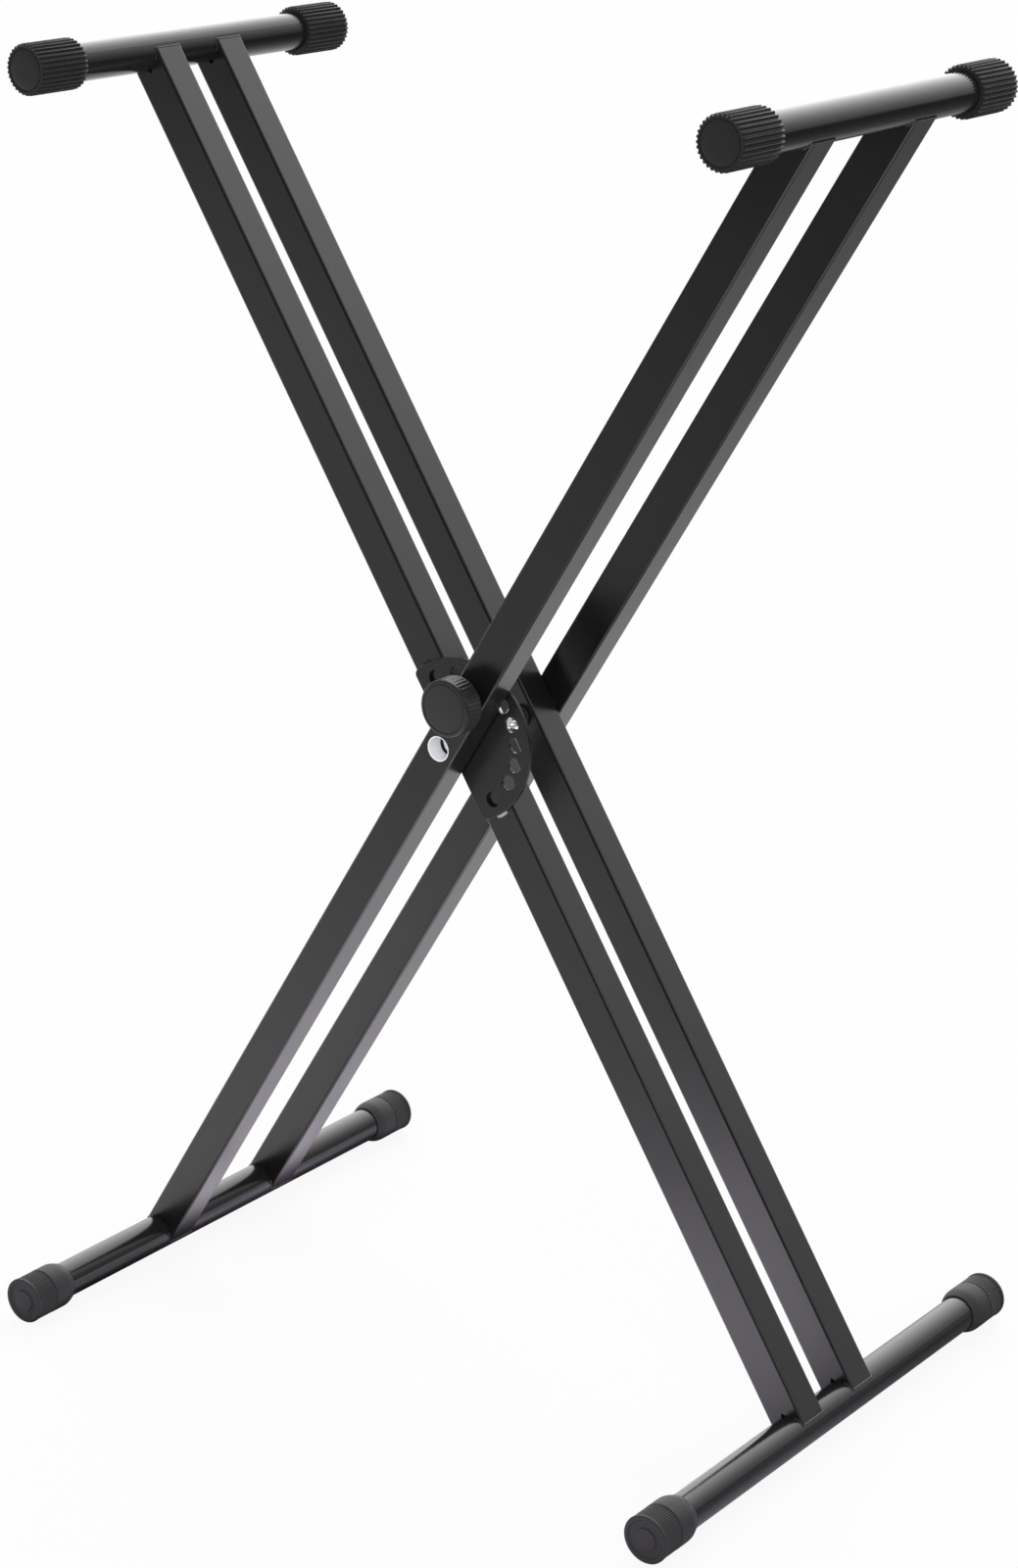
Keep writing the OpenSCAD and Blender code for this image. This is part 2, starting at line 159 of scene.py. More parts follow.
def makeSky():
    # three skies: one lights matt surfaces, one is what gloss sees, and the camera sees white
    world = bpy.data.worlds.new("studioSky")
    bpy.context.scene.world = world
    world.use_nodes = True
    tree = world.node_tree
    tree.nodes.clear()
    path = tree.nodes.new("ShaderNodeLightPath")
    coords = tree.nodes.new("ShaderNodeTexCoord")
    matt = tree.nodes.new("ShaderNodeBackground")
    gloss = tree.nodes.new("ShaderNodeBackground")
    seen = tree.nodes.new("ShaderNodeBackground")
    glossMix = tree.nodes.new("ShaderNodeMixShader")
    seenMix = tree.nodes.new("ShaderNodeMixShader")
    out = tree.nodes.new("ShaderNodeOutputWorld")
    glossLevel = studio["darkLevel"]
    for glow in studio["skyGlows"]:
        side = Vector(glow["side"]).normalized()
        facing = vectorNode(tree, "DOT_PRODUCT", coords.outputs["Generated"], side)
        near = mathNode(tree, "POWER", mathNode(tree, "MAXIMUM", facing, 0), glow["fall"])
        glossLevel = mathNode(tree, "ADD", mathNode(tree, "MULTIPLY", near, glow["level"]), glossLevel)
    matt.inputs["Strength"].default_value = studio["skyLevel"]
    seen.inputs["Strength"].default_value = 1
    for shade in (matt, gloss, seen):
        shade.inputs["Color"].default_value = (1, 1, 1, 1)
    straight = mathNode(tree, "ADD", path.outputs["Is Camera Ray"], path.outputs["Is Transmission Ray"])
    linkNodes(tree, (glossLevel, gloss.inputs["Strength"]),
              (path.outputs["Is Glossy Ray"], glossMix.inputs[0]),
              (matt.outputs[0], glossMix.inputs[1]), (gloss.outputs[0], glossMix.inputs[2]),
              (straight, seenMix.inputs[0]),
              (glossMix.outputs[0], seenMix.inputs[1]), (seen.outputs[0], seenMix.inputs[2]),
              (seenMix.outputs[0], out.inputs["Surface"]))


def makeFloor():
    half = studio["floorSize"] / 2
    white = (1, 1, 1)
    mesh = bpy.data.meshes.new("paleFloor")
    mesh.from_pydata([(-half, -half, 0), (half, -half, 0), (half, half, 0), (-half, half, 0)],
                     [], [(0, 1, 2, 3)])
    floor = bpy.data.objects.new("paleFloor", mesh)
    bpy.context.scene.collection.objects.link(floor)
    finish = bpy.data.materials.new("palePaper")
    finish.use_nodes = True
    tree = finish.node_tree
    tree.nodes.clear()
    path = tree.nodes.new("ShaderNodeLightPath")
    paper = tree.nodes.new("ShaderNodeBsdfDiffuse")
    glow = tree.nodes.new("ShaderNodeEmission")
    blendBoth = tree.nodes.new("ShaderNodeMixShader")
    out = tree.nodes.new("ShaderNodeOutputMaterial")
    coords = tree.nodes.new("ShaderNodeTexCoord")
    sheen = mathNode(tree, "ADD", path.outputs["Is Glossy Ray"], path.outputs["Is Transmission Ray"])
    flat = mathNode(tree, "ADD",
                    mathNode(tree, "MULTIPLY", path.outputs["Is Camera Ray"], 1 - studio["floorShade"]),
                    mathNode(tree, "MULTIPLY", sheen, 1 - studio["glossShade"]))
    lit = (0, 0, 0)
    for patch in studio["floorGlows"]:
        away = vectorNode(tree, "SUBTRACT", coords.outputs["Object"], (*patch["middle"], 0))
        reach = vectorNode(tree, "LENGTH", vectorNode(tree, "DIVIDE", away, (*patch["reach"], 1)), None)
        fade = mathNode(tree, "ADD", mathNode(tree, "POWER", reach, studio["glowFall"]), 1)
        share = mathNode(tree, "DIVIDE", patch["level"], fade)
        lit = vectorNode(tree, "ADD", vectorNode(tree, "SCALE", patch.get("tint", white), share), lit)
    # white for the camera and for matt surfaces, the lit patches for gloss
    lit = vectorNode(tree, "SUBTRACT", vectorNode(tree, "MAXIMUM", lit, (0, 0, 0)), white)
    shown = vectorNode(tree, "ADD", vectorNode(tree, "SCALE", lit, sheen), white)
    paint = vectorNode(tree, "MULTIPLY", shown, studio["floorColour"])
    linkNodes(tree, (paint, paper.inputs["Color"]), (shown, glow.inputs["Color"]),
              (flat, blendBoth.inputs[0]), (paper.outputs[0], blendBoth.inputs[1]),
              (glow.outputs[0], blendBoth.inputs[2]), (blendBoth.outputs[0], out.inputs["Surface"]))
    mesh.materials.append(finish)


def makeLamps():
    for name, look in studio["lamps"].items():
        light = bpy.data.lights.new(name, "SUN")
        light.energy = look["level"]
        light.angle = math.radians(look["spread"])
        lamp = bpy.data.objects.new(name, light)
        bpy.context.scene.collection.objects.link(lamp)
        lamp.rotation_euler = Vector(look["from"]).to_track_quat("Z", "Y").to_euler()
        lamp.visible_glossy = False    # the sky already shows gloss this side


# Camera, fitted to the leg edges and tube ends
view = {
    "at": (1.3522, -1.7720, 1.1489),
    "turned": 37.251,    # degrees to the right of straight in front
    "down": 18.648,
    "roll": -0.111,
    "lens": 80.93,       # millimetres, as the sensor's long side
    "sensor": 36,
    "clip": (0.05, 100),
}


def makeCamera():
    data = bpy.data.cameras.new("photoCamera")
    data.sensor_width = view["sensor"]
    data.lens = view["lens"]
    data.clip_start, data.clip_end = view["clip"]
    camera = bpy.data.objects.new("photoCamera", data)
    bpy.context.scene.collection.objects.link(camera)
    upright = Matrix.Rotation(math.radians(90 - view["down"]), 4, "X")
    aimed = Matrix.Rotation(math.radians(view["turned"]), 4, "Z") @ upright
    rolled = aimed @ Matrix.Rotation(math.radians(view["roll"]), 4, "Z")
    camera.matrix_world = Matrix.Translation(view["at"]) @ rolled
    bpy.context.scene.camera = camera


makeSky()
makeFloor()
makeLamps()
makeCamera()
bpy.context.scene.view_settings.view_transform = "Standard"
print("studio ready")

# Finishes. Grain is the fine texture and peel the wave in the coat, both with sizes and heights
# in millimetres. Colours are linear values.
finishes = {
    "legPowder": {
        "slot": "leg_paint", "dark": (0.0045, 0.0045, 0.005), "light": (0.0075, 0.0075, 0.008),
        "rough": (0.2, 0.25), "sheen": 0.66,
        "grain": 0.55, "height": 0.01, "peel": 4.0, "peelHeight": 0.012,
    },
    "rodGloss": {
        "slot": "rod_paint", "dark": (0.009, 0.009, 0.01), "light": (0.012, 0.012, 0.013),
        "rough": (0.18, 0.23), "sheen": 0.5,
        "grain": 0.6, "height": 0.004, "peel": 5.0, "peelHeight": 0.01,
    },
    "platePowder": {
        "slot": "plate_paint", "dark": (0.006, 0.006, 0.0065), "light": (0.01, 0.01, 0.0105),
        "rough": (0.24, 0.3), "sheen": 0.54,
        "grain": 0.5, "height": 0.008, "peel": 3.5, "peelHeight": 0.01,
    },
    "weldPowder": {
        "slot": "leg_paint", "dark": (0.012, 0.012, 0.013), "light": (0.018, 0.018, 0.019),
        "rough": (0.22, 0.32), "sheen": 0.66,
        "grain": 0.4, "height": 0.01, "peel": 1.6, "peelHeight": 0.03,
    },
    "capRubber": {
        "slot": "cap_rubber", "dark": (0.013, 0.013, 0.013), "light": (0.019, 0.019, 0.019),
        "rough": (0.42, 0.5), "sheen": 0.3,
        "grain": 0.35, "height": 0.012, "peel": 6.0, "peelHeight": 0.012,
    },
    "footRubber": {
        "slot": "foot_rubber", "dark": (0.0215, 0.0203, 0.0222), "light": (0.029, 0.0275, 0.03),
        "rough": (0.52, 0.6), "sheen": 0.3,
        "grain": 0.35, "height": 0.012, "peel": 6.0, "peelHeight": 0.012,
    },
    "knobPlastic": {
        "slot": "knob_plastic", "dark": (0.009, 0.009, 0.009), "light": (0.012, 0.012, 0.012),
        "rough": (0.42, 0.48), "sheen": 0.5,
        "grain": 0.3, "height": 0.006, "peel": 4.0, "peelHeight": 0.006,
    },
    # a lighter copy of the knob plastic for its flat front: painted light
    "paintedLightKnobFace": {
        "slot": "knob_plastic", "dark": (0.0165, 0.0165, 0.017), "light": (0.0215, 0.0215, 0.022),
        "rough": (0.42, 0.5),
        "grain": 0.3, "height": 0.01, "peel": 4.0, "peelHeight": 0.006,
    },
    "brightZinc": {
        "slot": "zinc_plate", "dark": (0.74, 0.76, 0.78), "light": (0.86, 0.87, 0.88),
        "rough": (0.16, 0.3), "metal": 1,
        "grain": 0.5, "height": 0.004, "peel": 2.5, "peelHeight": 0.006,
    },
    # light zinc made almost matt and near-white, so that its colour paints in the bright reflections in
    # the bolt cups and on the bolt heads
    "cupZinc": {
        "slot": "zinc_plate", "dark": (0.9, 0.92, 0.94), "light": (0.96, 0.97, 0.98),
        "rough": (0.3, 0.4), "metal": 0.1,
        "grain": 0.5, "height": 0.004, "peel": 2.5, "peelHeight": 0.006,
    },
    # light weld finish whose lightness is a painted reflection of the bright floor, used on the low
    # tack
    "bareWeld": {
        "slot": "leg_paint", "dark": (0.3, 0.29, 0.31), "light": (0.42, 0.41, 0.43),
        "rough": (0.4, 0.5), "metal": 0.5,
        "grain": 0.4, "height": 0.01, "peel": 1.6, "peelHeight": 0.03,
    },
    # dark steel for the washers, and painted shade deep in the bolt cups
    "darkSteelAndPaintedShade": {
        "slot": "zinc_plate", "dark": (0.02, 0.02, 0.021), "light": (0.032, 0.032, 0.033),
        "rough": (0.3, 0.42),
        "grain": 0.4, "height": 0.004, "peel": 2.0, "peelHeight": 0.004,
    },
    "springWire": {
        "slot": "spring_steel", "dark": (0.36, 0.37, 0.39), "light": (0.5, 0.51, 0.53),
        "rough": (0.24, 0.38), "metal": 1,
        "grain": 0.3, "height": 0.004, "peel": 2.0, "peelHeight": 0.004,
    },
    "nutNylon": {
        "slot": "zinc_plate", "dark": (0.66, 0.68, 0.7), "light": (0.76, 0.77, 0.78),
        "rough": (0.4, 0.52),
        "grain": 0.4, "height": 0.006, "peel": 2.0, "peelHeight": 0.006,
    },
}

texture = {
    "cloudSize": 38,             # slow change of colour and gloss over a surface
    "cloudShare": 0.6,           # and its share in the change of colour
    "noiseRange": (0.3, 0.7),    # values that noise mostly keeps to
    "detail": {"grain": 3, "peel": 2, "clouds": 3},
}


def noiseNode(tree, coords, size, detail):
    noise = tree.nodes.new("ShaderNodeTexNoise")
    noise.inputs["Scale"].default_value = 1 / (size * mm)
    noise.inputs["Detail"].default_value = detail
    tree.links.new(coords.outputs["Object"], noise.inputs["Vector"])
    return noise.outputs["Fac"]


def makeFinish(name, look):
    finish = bpy.data.materials.new(name)
    finish.use_nodes = True
    tree = finish.node_tree
    shader = tree.nodes["Principled BSDF"]
    shader.inputs["Metallic"].default_value = look.get("metal", 0)
    shader.inputs["Specular IOR Level"].default_value = look.get("sheen", 0.5)
    coords = tree.nodes.new("ShaderNodeTexCoord")
    grain = noiseNode(tree, coords, look["grain"], texture["detail"]["grain"])
    peel = noiseNode(tree, coords, look["peel"], texture["detail"]["peel"])
    clouds = noiseNode(tree, coords, texture["cloudSize"], texture["detail"]["clouds"])
    tint = tree.nodes.new("ShaderNodeMix")
    tint.data_type = "RGBA"    # its colours are sockets 6 and 7, and the mix is output 2
    tint.inputs[6].default_value = (*look["dark"], 1)
    tint.inputs[7].default_value = (*look["light"], 1)
    gloss = tree.nodes.new("ShaderNodeMapRange")
    for ends, values in (("From", texture["noiseRange"]), ("To", look["rough"])):
        gloss.inputs[ends + " Min"].default_value = values[0]
        gloss.inputs[ends + " Max"].default_value = values[1]
    coarse = tree.nodes.new("ShaderNodeBump")
    coarse.inputs["Distance"].default_value = look["peelHeight"] * mm
    fine = tree.nodes.new("ShaderNodeBump")
    fine.inputs["Distance"].default_value = look["height"] * mm
    mottle = mathNode(tree, "ADD", mathNode(tree, "MULTIPLY", clouds, texture["cloudShare"]),
                      mathNode(tree, "MULTIPLY", grain, 1 - texture["cloudShare"]))
    linkNodes(tree, (mottle, tint.inputs[0]), (tint.outputs[2], shader.inputs["Base Color"]),
              (clouds, gloss.inputs["Value"]), (gloss.outputs[0], shader.inputs["Roughness"]),
              (peel, coarse.inputs["Height"]), (grain, fine.inputs["Height"]),
              (coarse.outputs[0], fine.inputs["Normal"]), (fine.outputs[0], shader.inputs["Normal"]))
    return finish


finishOf = {name: makeFinish(name, look) for name, look in finishes.items()}
print("finishes ready,", len(finishOf))


def dress(node, finish):
    # a CAD piece whose shape is right only takes a finish
    mesh = cadNodes[node].data
    mesh.materials.clear()
    mesh.materials.append(finishOf[finish])


def addPiece(name, points, faces, finish, body, place=None, sharp=32, stands=()):
    mesh = bpy.data.meshes.new(name)
    mesh.from_pydata(points, [], faces)
    if place is not None:
        mesh.transform(place)
    tidy = bmesh.new()
    tidy.from_mesh(mesh)
    bmesh.ops.recalc_face_normals(tidy, faces=tidy.faces)
    tidy.to_mesh(mesh)
    tidy.free()
    mesh.shade_smooth()
    mesh.set_sharp_from_angle(angle=math.radians(sharp))
    mesh.materials.append(finishOf[finish])
    piece = bpy.data.objects.new(name, mesh)
    bpy.context.scene.collection.objects.link(piece)
    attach(piece, body)
    if stands:
        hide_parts(*stands)
    return piece


def turnedShape(outline, sides, shape=None, ring=False):
    # outline is (radius, place along the axis) in mm; shape(radius, along, angle) may change a radius
    points, rows = [], []
    for radius, along in outline:
        if radius == 0:
            rows.append([len(points)] * sides)
            points.append((0, along * mm, 0))
            continue
        rows.append(range(len(points), len(points) + sides))
        for j in range(sides):
            angle = turn * j / sides
            out = shape(radius, along, angle) if shape else radius
            points.append((out * math.cos(angle) * mm, along * mm, out * math.sin(angle) * mm))
    faces = []
    for near, far in zip(rows, list(rows[1:]) + ([rows[0]] if ring else [])):
        for j in range(sides):
            k = (j + 1) % sides
            corners = [near[j], near[k], far[k], far[j]]
            face = list(dict.fromkeys(corners))
            if len(face) > 2:
                faces.append(face)
    return points, faces


def rounded(corner, before, after, size, steps=4):
    # points that round one corner of an outline
    corner, before, after = Vector(corner), Vector(before), Vector(after)
    start = corner + (before - corner).normalized() * size
    end = corner + (after - corner).normalized() * size
    spots = []
    for i in range(steps + 1):
        t = i / steps
        spots.append(tuple(start.lerp(corner, t).lerp(corner.lerp(end, t), t)))
    return spots


def softOutline(points, ring=False):
    # each point is (radius, along) or (radius, along, rounding)
    out = []
    for i, point in enumerate(points):
        atEnd = not ring and i in (0, len(points) - 1)
        if len(point) < 3 or atEnd:
            out.append(tuple(point[:2]))
            continue
        before, after = points[i - 1], points[(i + 1) % len(points)]
        out += rounded(point[:2], before[:2], after[:2], point[2])
    return out


def arc(middle, radius, start, stop, steps):
    spots = []
    for i in range(steps + 1):
        angle = math.radians(start + (stop - start) * i / steps)
        spots.append((middle[0] + radius * math.cos(angle), middle[1] + radius * math.sin(angle)))
    return spots


def sweptShape(path, radius, sides=10, ring=False):
    # a round bead along a path in mm; radius(share) gives its size along the way
    path = [Vector(spot) for spot in path]
    count = len(path)
    tangents = []
    for i in range(count):
        before = path[i - 1] if i or ring else path[i]
        after = path[(i + 1) % count] if i < count - 1 or ring else path[i]
        tangents.append((after - before).normalized())
    across = tangents[0].orthogonal().normalized()
    points, faces = [], []
    for i, (spot, tangent) in enumerate(zip(path, tangents)):
        across = (across - tangent * across.dot(tangent)).normalized()
        other = tangent.cross(across)
        size = radius(i / (count - 1))
        for j in range(sides):
            angle = turn * j / sides
            out = across * math.cos(angle) + other * math.sin(angle)
            points.append(tuple((spot + out * size) * mm))
    rows = count if ring else count - 1
    for i in range(rows):
        near, far = i * sides, (i + 1) % count * sides
        for j in range(sides):
            k = (j + 1) % sides
            faces.append((near + j, near + k, far + k, far + j))
    if not ring:
        last = (count - 1) * sides
        faces += [tuple(range(sides)), tuple(range(last, last + sides))]
    return points, faces


# Ribbed rubber caps on the top tubes. An edge lists the points that round it, as (in, deep) in mm.
capLook = {
    "ribs": 32,
    "ribDepth": 1.5,
    "crest": 0.12,        # share of the pitch that a crest takes
    "valley": 0.3,        # and that the floor of a valley takes
    "perRib": 16,
    "bevel": 0.7,
    "bevelSteps": 5,
    "rim": 3.7,
    "groove": 0.8,
    "grooveDepth": 0.6,
    "ribsFrom": 0.6,      # how far outside the groove the ribs begin
    "discEdge": ((0.5, 0.02), (0.15, 0.12), (0, 0.35)),
    "grooveEdge": ((0, 0.3), (0.12, 0.08), (0.4, 0)),
    "backEdge": ((0, 0.7), (0.15, 0.3), (0.6, 0)),
    "boreEdge": 0.4,
    "end": 3.5,           # thickness of the closed end
    "sharp": 38,          # degrees from which an edge is shown sharp
}


def ribWave(angle, look):
    # 0 on a crest, 1 in a valley
    phase = abs((angle * look["ribs"] / turn + 0.5) % 1 - 0.5)
    slope = 0.5 - (look["crest"] + look["valley"]) / 2
    t = min(1.0, max(0.0, phase - look["crest"] / 2) / slope)
    return t * t * (3 - 2 * t) * 0.5 + t * 0.5    # between a smooth wave and a straight slope


def endSizes(name, side, place):
    # a cap's or foot's outside radius, its tube's radius and its length, in mm
    low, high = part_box(name)
    rodLow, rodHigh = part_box(f"{side}_{place}_rod")
    return (high.x - low.x) / 2 / mm, (rodHigh.x - rodLow.x) / 2 / mm, (high.y - low.y) / mm


def depthReach(node):
    low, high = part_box(node)
    return max(-low.y, high.y)


def makeCap(side, end):
    name = f"{side}_top_cap_{end}"
    outer, bore, length = endSizes(name, side, "top")
    look = capLook
    bevel, deep = look["bevel"], look["grooveDepth"]
    disc = outer - look["rim"]
    groove = disc + look["groove"]

    def ribbed(radius, along, angle):
        if radius < groove + look["ribsFrom"]:
            return radius
        return min(radius, outer - look["ribDepth"] * ribWave(angle, look))

    outline = [(0, 0), (disc * 0.5, 0)] + [(disc - x, y) for x, y in look["discEdge"]]
    outline += [(disc, deep), (groove, deep)] + [(groove + x, y) for x, y in look["grooveEdge"]]
    outline.append((outer - bevel - 0.25, 0))
    for i in range(1, look["bevelSteps"]):
        part = bevel * i / look["bevelSteps"]
        outline.append((outer - bevel + part, part))
    outline += [(outer, bevel + 0.15), (outer, length * 0.5)]
    outline += [(outer - x, length - y) for x, y in look["backEdge"]]
    outline += [(bore + look["boreEdge"], length), (bore, length - look["boreEdge"]),
                (bore, look["end"]), (0, look["end"])]
    points, faces = turnedShape(outline, look["ribs"] * look["perRib"], ribbed)
    spot = placeOn(side, armLength, end == "back") @ Matrix.Translation((0, -depthReach(name), 0))
    addPiece(name + "_moulded", points, faces, "capRubber", side + "_frame", spot, look["sharp"],
             [name])


for side, end in legs:
    makeCap(side, end)
print("caps made")

# Rubber feet: rim, sunk grip band with fine ribs, smooth sleeve that tapers at its end
footLook = {
    "grip": 16,
    "sink": 0.3,
    "ribs": 60,
    "ribDepth": 0.6,
    "crest": 0.2,
    "valley": 0.25,
    "perRib": 8,
    "rim": 2.6,
    "rimFace": 3.2,
    "rimRound": 1.3,
    "dish": 5.4,
    "dishDepth": 1.2,
    "discSink": 0.25,     # how far the middle lies behind the rim
    "line": 0.5,          # width and depth of the line behind the grip band
    "sleeveStep": 0.2,
    "taper": 6,
    "taperDrop": 2.4,
    "taperRound": 2.5,
    "end": 3.5,
    "sharp": 38,
}


def makeFoot(side, end):
    name = f"{side}_foot_{end}"
    outer, bore, length = endSizes(name, side, "bottom")
    look = footLook
    grip = outer - look["sink"]
    sleeve = outer - look["sleeveStep"]
    rim, line = look["rim"], look["line"]
    bandEnd = rim + look["grip"]
    dish = outer - look["rimFace"]
    disc = dish - look["dish"]
    sunk, deep = look["discSink"], look["dishDepth"]

    def ribbed(radius, along, angle):
        if along < rim + 0.15 or along > bandEnd - line - 0.2 or radius < grip - line:
            return radius
        return radius - look["ribDepth"] * ribWave(angle, look)

    outline = softOutline([
        (0, sunk), (disc * 0.55, sunk), (disc, sunk + 0.05, 0.5), (disc + 0.25, deep, 0.2),
        (dish - 0.6, deep, 0.4), (dish + 0.5, 0, 0.5), (outer, 0, look["rimRound"]), (outer, rim, 0.4),
        (grip, rim + 0.1, 0.05), (grip, rim + 0.3), (grip, rim + 0.8),
        (grip, bandEnd - line - 0.5), (grip, bandEnd - line - 0.12),
        (grip - line, bandEnd - line, 0.1), (grip - line, bandEnd, 0.1),
        (sleeve, bandEnd, 0.7), (sleeve, length - look["taper"], look["taperRound"]),
        (sleeve - look["taperDrop"], length, 0.6), (bore + 0.1, length, 0.05), (bore, length - 0.3),
        (bore, look["end"]), (0, look["end"])])
    points, faces = turnedShape(outline, look["ribs"] * look["perRib"], ribbed)
    spot = placeOn(side, -armLength, end == "back") @ Matrix.Translation((0, -depthReach(name), 0))
    addPiece(name + "_moulded", points, faces, "footRubber", side + "_frame", spot, look["sharp"],
             [name])


for side, end in legs:
    makeFoot(side, end)
print("feet made")

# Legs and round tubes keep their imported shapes
for side in ("outer", "inner"):
    for node in ("leg_front", "leg_back"):
        dress(f"{side}_{node}", "legPowder")
    for node in ("top_rod", "bottom_rod"):
        dress(f"{side}_{node}", "rodGloss")

# Pull knob with a fluted side
knobLook = {
    "ribs": 40,
    "ribDepth": 0.42,
    "crest": 0.3,
    "valley": 0.1,
    "perRib": 8,
    "edge": 1.9,           # rounding of the front edge
    "ring": 0.85,          # radius of the ring groove, as a share of the knob's
    "ringWidth": 0.7,
    "ringDepth": 0.4,
    "plain": 2.6,          # smooth rim at the front
    "fade": 0.6,           # length over which the flutes end
    "backRim": 3.6,        # width of the rim round the hollow back
    "backDepth": 1.2,
    "bore": 3.0,           # radius and depth of the hole for the pin
    "boreEnd": 5,
    "faceDepth": 0.2,      # the flat front takes a lighter copy of the plastic, painted light, down to here
    "faceTurn": 0.9,       # where it faces the front at least this much
    "sharp": 36,
}


def makeKnob():
    low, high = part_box("pull_knob")
    outer = (high.x - low.x) / 2 / mm
    depth = (high.y - low.y) / mm
    look = knobLook
    bore, boreEnd = look["bore"], look["boreEnd"]
    ring = outer * look["ring"]
    half, groove = look["ringWidth"] / 2, look["ringDepth"]
    hollow = depth - look["backDepth"]

    def fluted(radius, along, angle):
        if along < look["plain"] or radius < outer - 2:
            return radius
        room = min(along - look["plain"], max(0.0, depth - 0.5 - along))
        return radius - look["ribDepth"] * ribWave(angle, look) * min(1.0, room / look["fade"])

    outline = softOutline([
        (0, 0.1), (ring - half - 0.4, 0), (ring - half, 0.05, 0.15), (ring - half * 0.6, groove, 0.15),
        (ring + half * 0.6, groove, 0.15), (ring + half, 0.05, 0.15),
        (outer, 0, look["edge"]), (outer, depth)])[:-1]
    outline += [(outer, look["plain"] + (depth - 0.8 - look["plain"]) * t)
                for t in (0, 0.03, 0.06, 0.3, 0.6, 0.9, 0.95)]
    outline += softOutline([(outer, depth - 0.9), (outer, depth, 0.5),
                            (outer - look["backRim"] + 0.6, depth, 0.4),
                            (outer - look["backRim"], hollow, 0.4), (bore + 4, hollow, 0.4),
                            (bore + 3.6, depth, 0.3), (bore, depth), (bore, boreEnd), (0, boreEnd)])
    points, faces = turnedShape(outline, look["ribs"] * look["perRib"], fluted)
    away = middleOf("pull_knob") - pivot
    along = math.hypot(away.x, away.z)
    spot = placeOn("outer", along) @ Matrix.Translation((0, low.y, 0))
    knob = addPiece("fluted_knob", points, faces, "knobPlastic", "lock_knob", spot, look["sharp"],
                    ["pull_knob"])
    # the flat front gets the lighter copy of the plastic: painted light
    knob.data.materials.append(finishOf["paintedLightKnobFace"])
    faceEnd = low.y + look["faceDepth"] * mm
    for face in knob.data.polygons:
        if face.center.y < faceEnd and -face.normal.y > look["faceTurn"]:
            face.material_index = 1
    return along


knobAlong = makeKnob()
print("knob made")

# Weld seams where the side walls of a leg meet its round tube
seamLook = {
    "corner": 1.7,       # the leg's corner radius
    "lap": 3,            # how far the walls stop short of the tube's middle
    "round": 2.6,        # how far a seam runs round onto the front and back walls
    "sink": 0.15,        # how deep a seam's middle lies in the wall
    "size": 0.55,
    "endSize": 0.95,
    "ripple": 1.3,       # length of one ripple
    "rough": 0.14,       # change in size, of which half follows the ripple
    "chance": 0.6,       # and this share is random
    "step": 0.35,
    "cornerSteps": 6,
    "sharp": 60,
}


def makeSeams(side, end, hand):
    look = seamLook
    low, high = leaningBox(f"{side}_leg_{end}", side)
    rodLow, rodHigh = leaningBox(f"{side}_top_rod", side)
    half, tube = high.x, (rodHigh.x - rodLow.x) / 2
    corner, step = look["corner"], look["step"]
    chance = random.Random(f"{side} {end} {hand}")
    # along the front wall, round the corner, along the side wall and round again
    flat = [(half - corner - look["round"], low.y)]
    for middle, start in ((low.y + corner, 270), (high.y - corner, 0)):
        flat += arc((half - corner, middle), corner, start, start + 90, look["cornerSteps"])
    flat.append((half - corner - look["round"], high.y))
    path = []
    for (x1, y1), (x2, y2) in zip(flat, flat[1:]):
        steps = max(1, round(math.hypot(x2 - x1, y2 - y1) / step))
        for i in range(steps):
            x, y = x1 + (x2 - x1) * i / steps, y1 + (y2 - y1) * i / steps
            drop = max(math.sqrt(max(0, tube * tube - x * x)), look["lap"])
            path.append((hand * (x - look["sink"]), y, armLength / mm - drop))
    if (hand > 0) != (side == "outer"):
        path = path[::-1]

    def bead(share):
        fromEnd = min(share, 1 - share) * len(path) * step
        swell = max(0.0, 1 - fromEnd / (look["round"] + corner))
        size = look["size"] + (look["endSize"] - look["size"]) * swell
        wave = 0.5 * math.cos(turn * share * len(path) * step / look["ripple"])
        return size * (1 + look["rough"] * (wave + chance.uniform(-look["chance"], look["chance"])))

    handName = "right" if hand > 0 else "left"
    for where, flip in (("top", 1), ("bottom", -1)):
        shape = sweptShape([(x, y, z * flip) for x, y, z in path], bead)
        addPiece(f"{side}_{end}_{where}_seam_{handName}", *shape, "weldPowder",
                 side + "_frame", placeOn(side, 0), look["sharp"])


for side, end in legs:
    for hand in (1, -1):
        makeSeams(side, end, hand)
print("weld seams made")

# Notched plate with rounded edges, and its tack welds
plateLook = {
    "corner": 4,
    "hole": 10.5,
    "pitch": 18,
    "pairs": 4,
    "foldHole": 87.34,      # degrees from the plate's middle
    "bush": 14,
    "edge": 0.4,
    "edgeSteps": 3,
    "joined": 0.002,        # points closer than this become one
    "steps": {"rim": 96, "corner": 10, "bush": 64, "hole": 48, "tack": 24},
    "sharp": 50,
    "tackSides": 20,
    "tackSharp": 60,
    "tackRough": 0.03,
    "tacks": {              # where each lies across the leg in mm, and its size
        # the low tack is drawn light as a painted reflection; the high one keeps the leg paint
        "plate_tack_low": {"across": (-2.2, 7), "end": -1, "size": 2.1, "finish": "bareWeld"},
        "plate_tack_high": {"across": (-7.5, 1.5), "end": 1, "size": 1.7, "finish": "legPowder"},
    },
}


